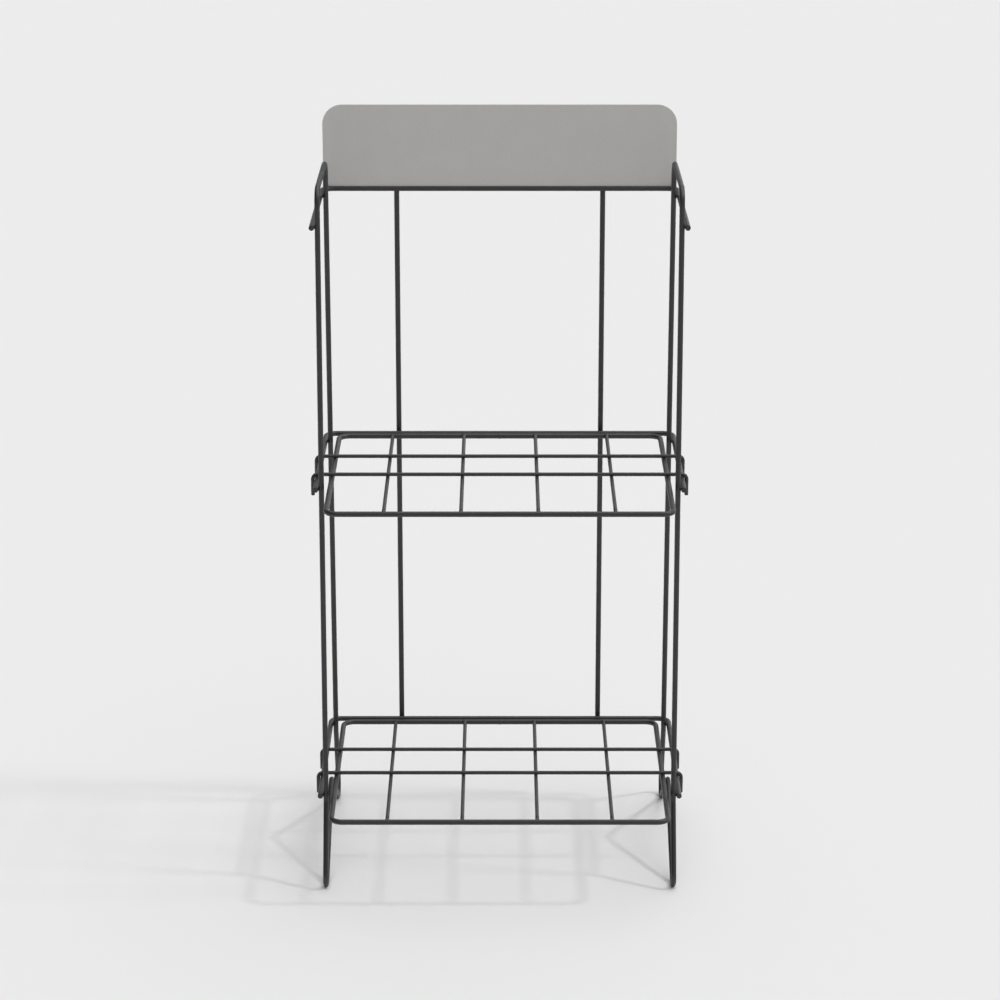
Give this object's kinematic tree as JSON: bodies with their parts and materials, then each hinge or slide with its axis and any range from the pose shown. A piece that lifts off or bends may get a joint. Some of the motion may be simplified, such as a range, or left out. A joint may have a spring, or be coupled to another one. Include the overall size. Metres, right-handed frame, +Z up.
{
  "type": "newspaper rack",
  "caption": "Free-standing wire newspaper rack with two lift-off wire shelves, splayed looped feet and a blank sheet header panel.",
  "frame": {"origin": "on the floor, at the centre of the rack's footprint", "axes": "+Z up, -Y towards the reader at the open front, +X to the right seen from the front"},
  "size_m": [0.4452, 0.3566, 0.8969],
  "materials": {
    "frame_wire": "satin charcoal powder coat",
    "shelf_wire": "satin charcoal powder coat",
    "header_panel": "satin mid-grey paint"
  },
  "bodies": {
    "frame": {"left_side_frame": "frame_wire", "right_side_frame": "frame_wire", "top_bracket": "frame_wire", "upper_bracket": "frame_wire", "lower_bracket": "frame_wire", "left_back_wire": "frame_wire", "right_back_wire": "frame_wire", "header_panel": "header_panel"},
    "upper_shelf": {"upper_shelf_rim": "shelf_wire", "upper_shelf_rear_hook_wire": "shelf_wire", "upper_shelf_front_hook_wire": "shelf_wire", "upper_shelf_run_wire_1": "shelf_wire", "upper_shelf_run_wire_2": "shelf_wire", "upper_shelf_run_wire_3": "shelf_wire", "upper_shelf_run_wire_4": "shelf_wire"},
    "lower_shelf": {"lower_shelf_rim": "shelf_wire", "lower_shelf_rear_hook_wire": "shelf_wire", "lower_shelf_front_hook_wire": "shelf_wire", "lower_shelf_run_wire_1": "shelf_wire", "lower_shelf_run_wire_2": "shelf_wire", "lower_shelf_run_wire_3": "shelf_wire", "lower_shelf_run_wire_4": "shelf_wire"}
  },
  "joints": [
    {"name": "upper_shelf_lift", "type": "slide", "parent": "frame", "child": "upper_shelf", "axis": [0, 0, 1], "range_m": [0, 0.28]},
    {"name": "lower_shelf_lift", "type": "slide", "parent": "frame", "child": "lower_shelf", "axis": [0, 0, 1], "range_m": [0, 0.34]}
  ]
}
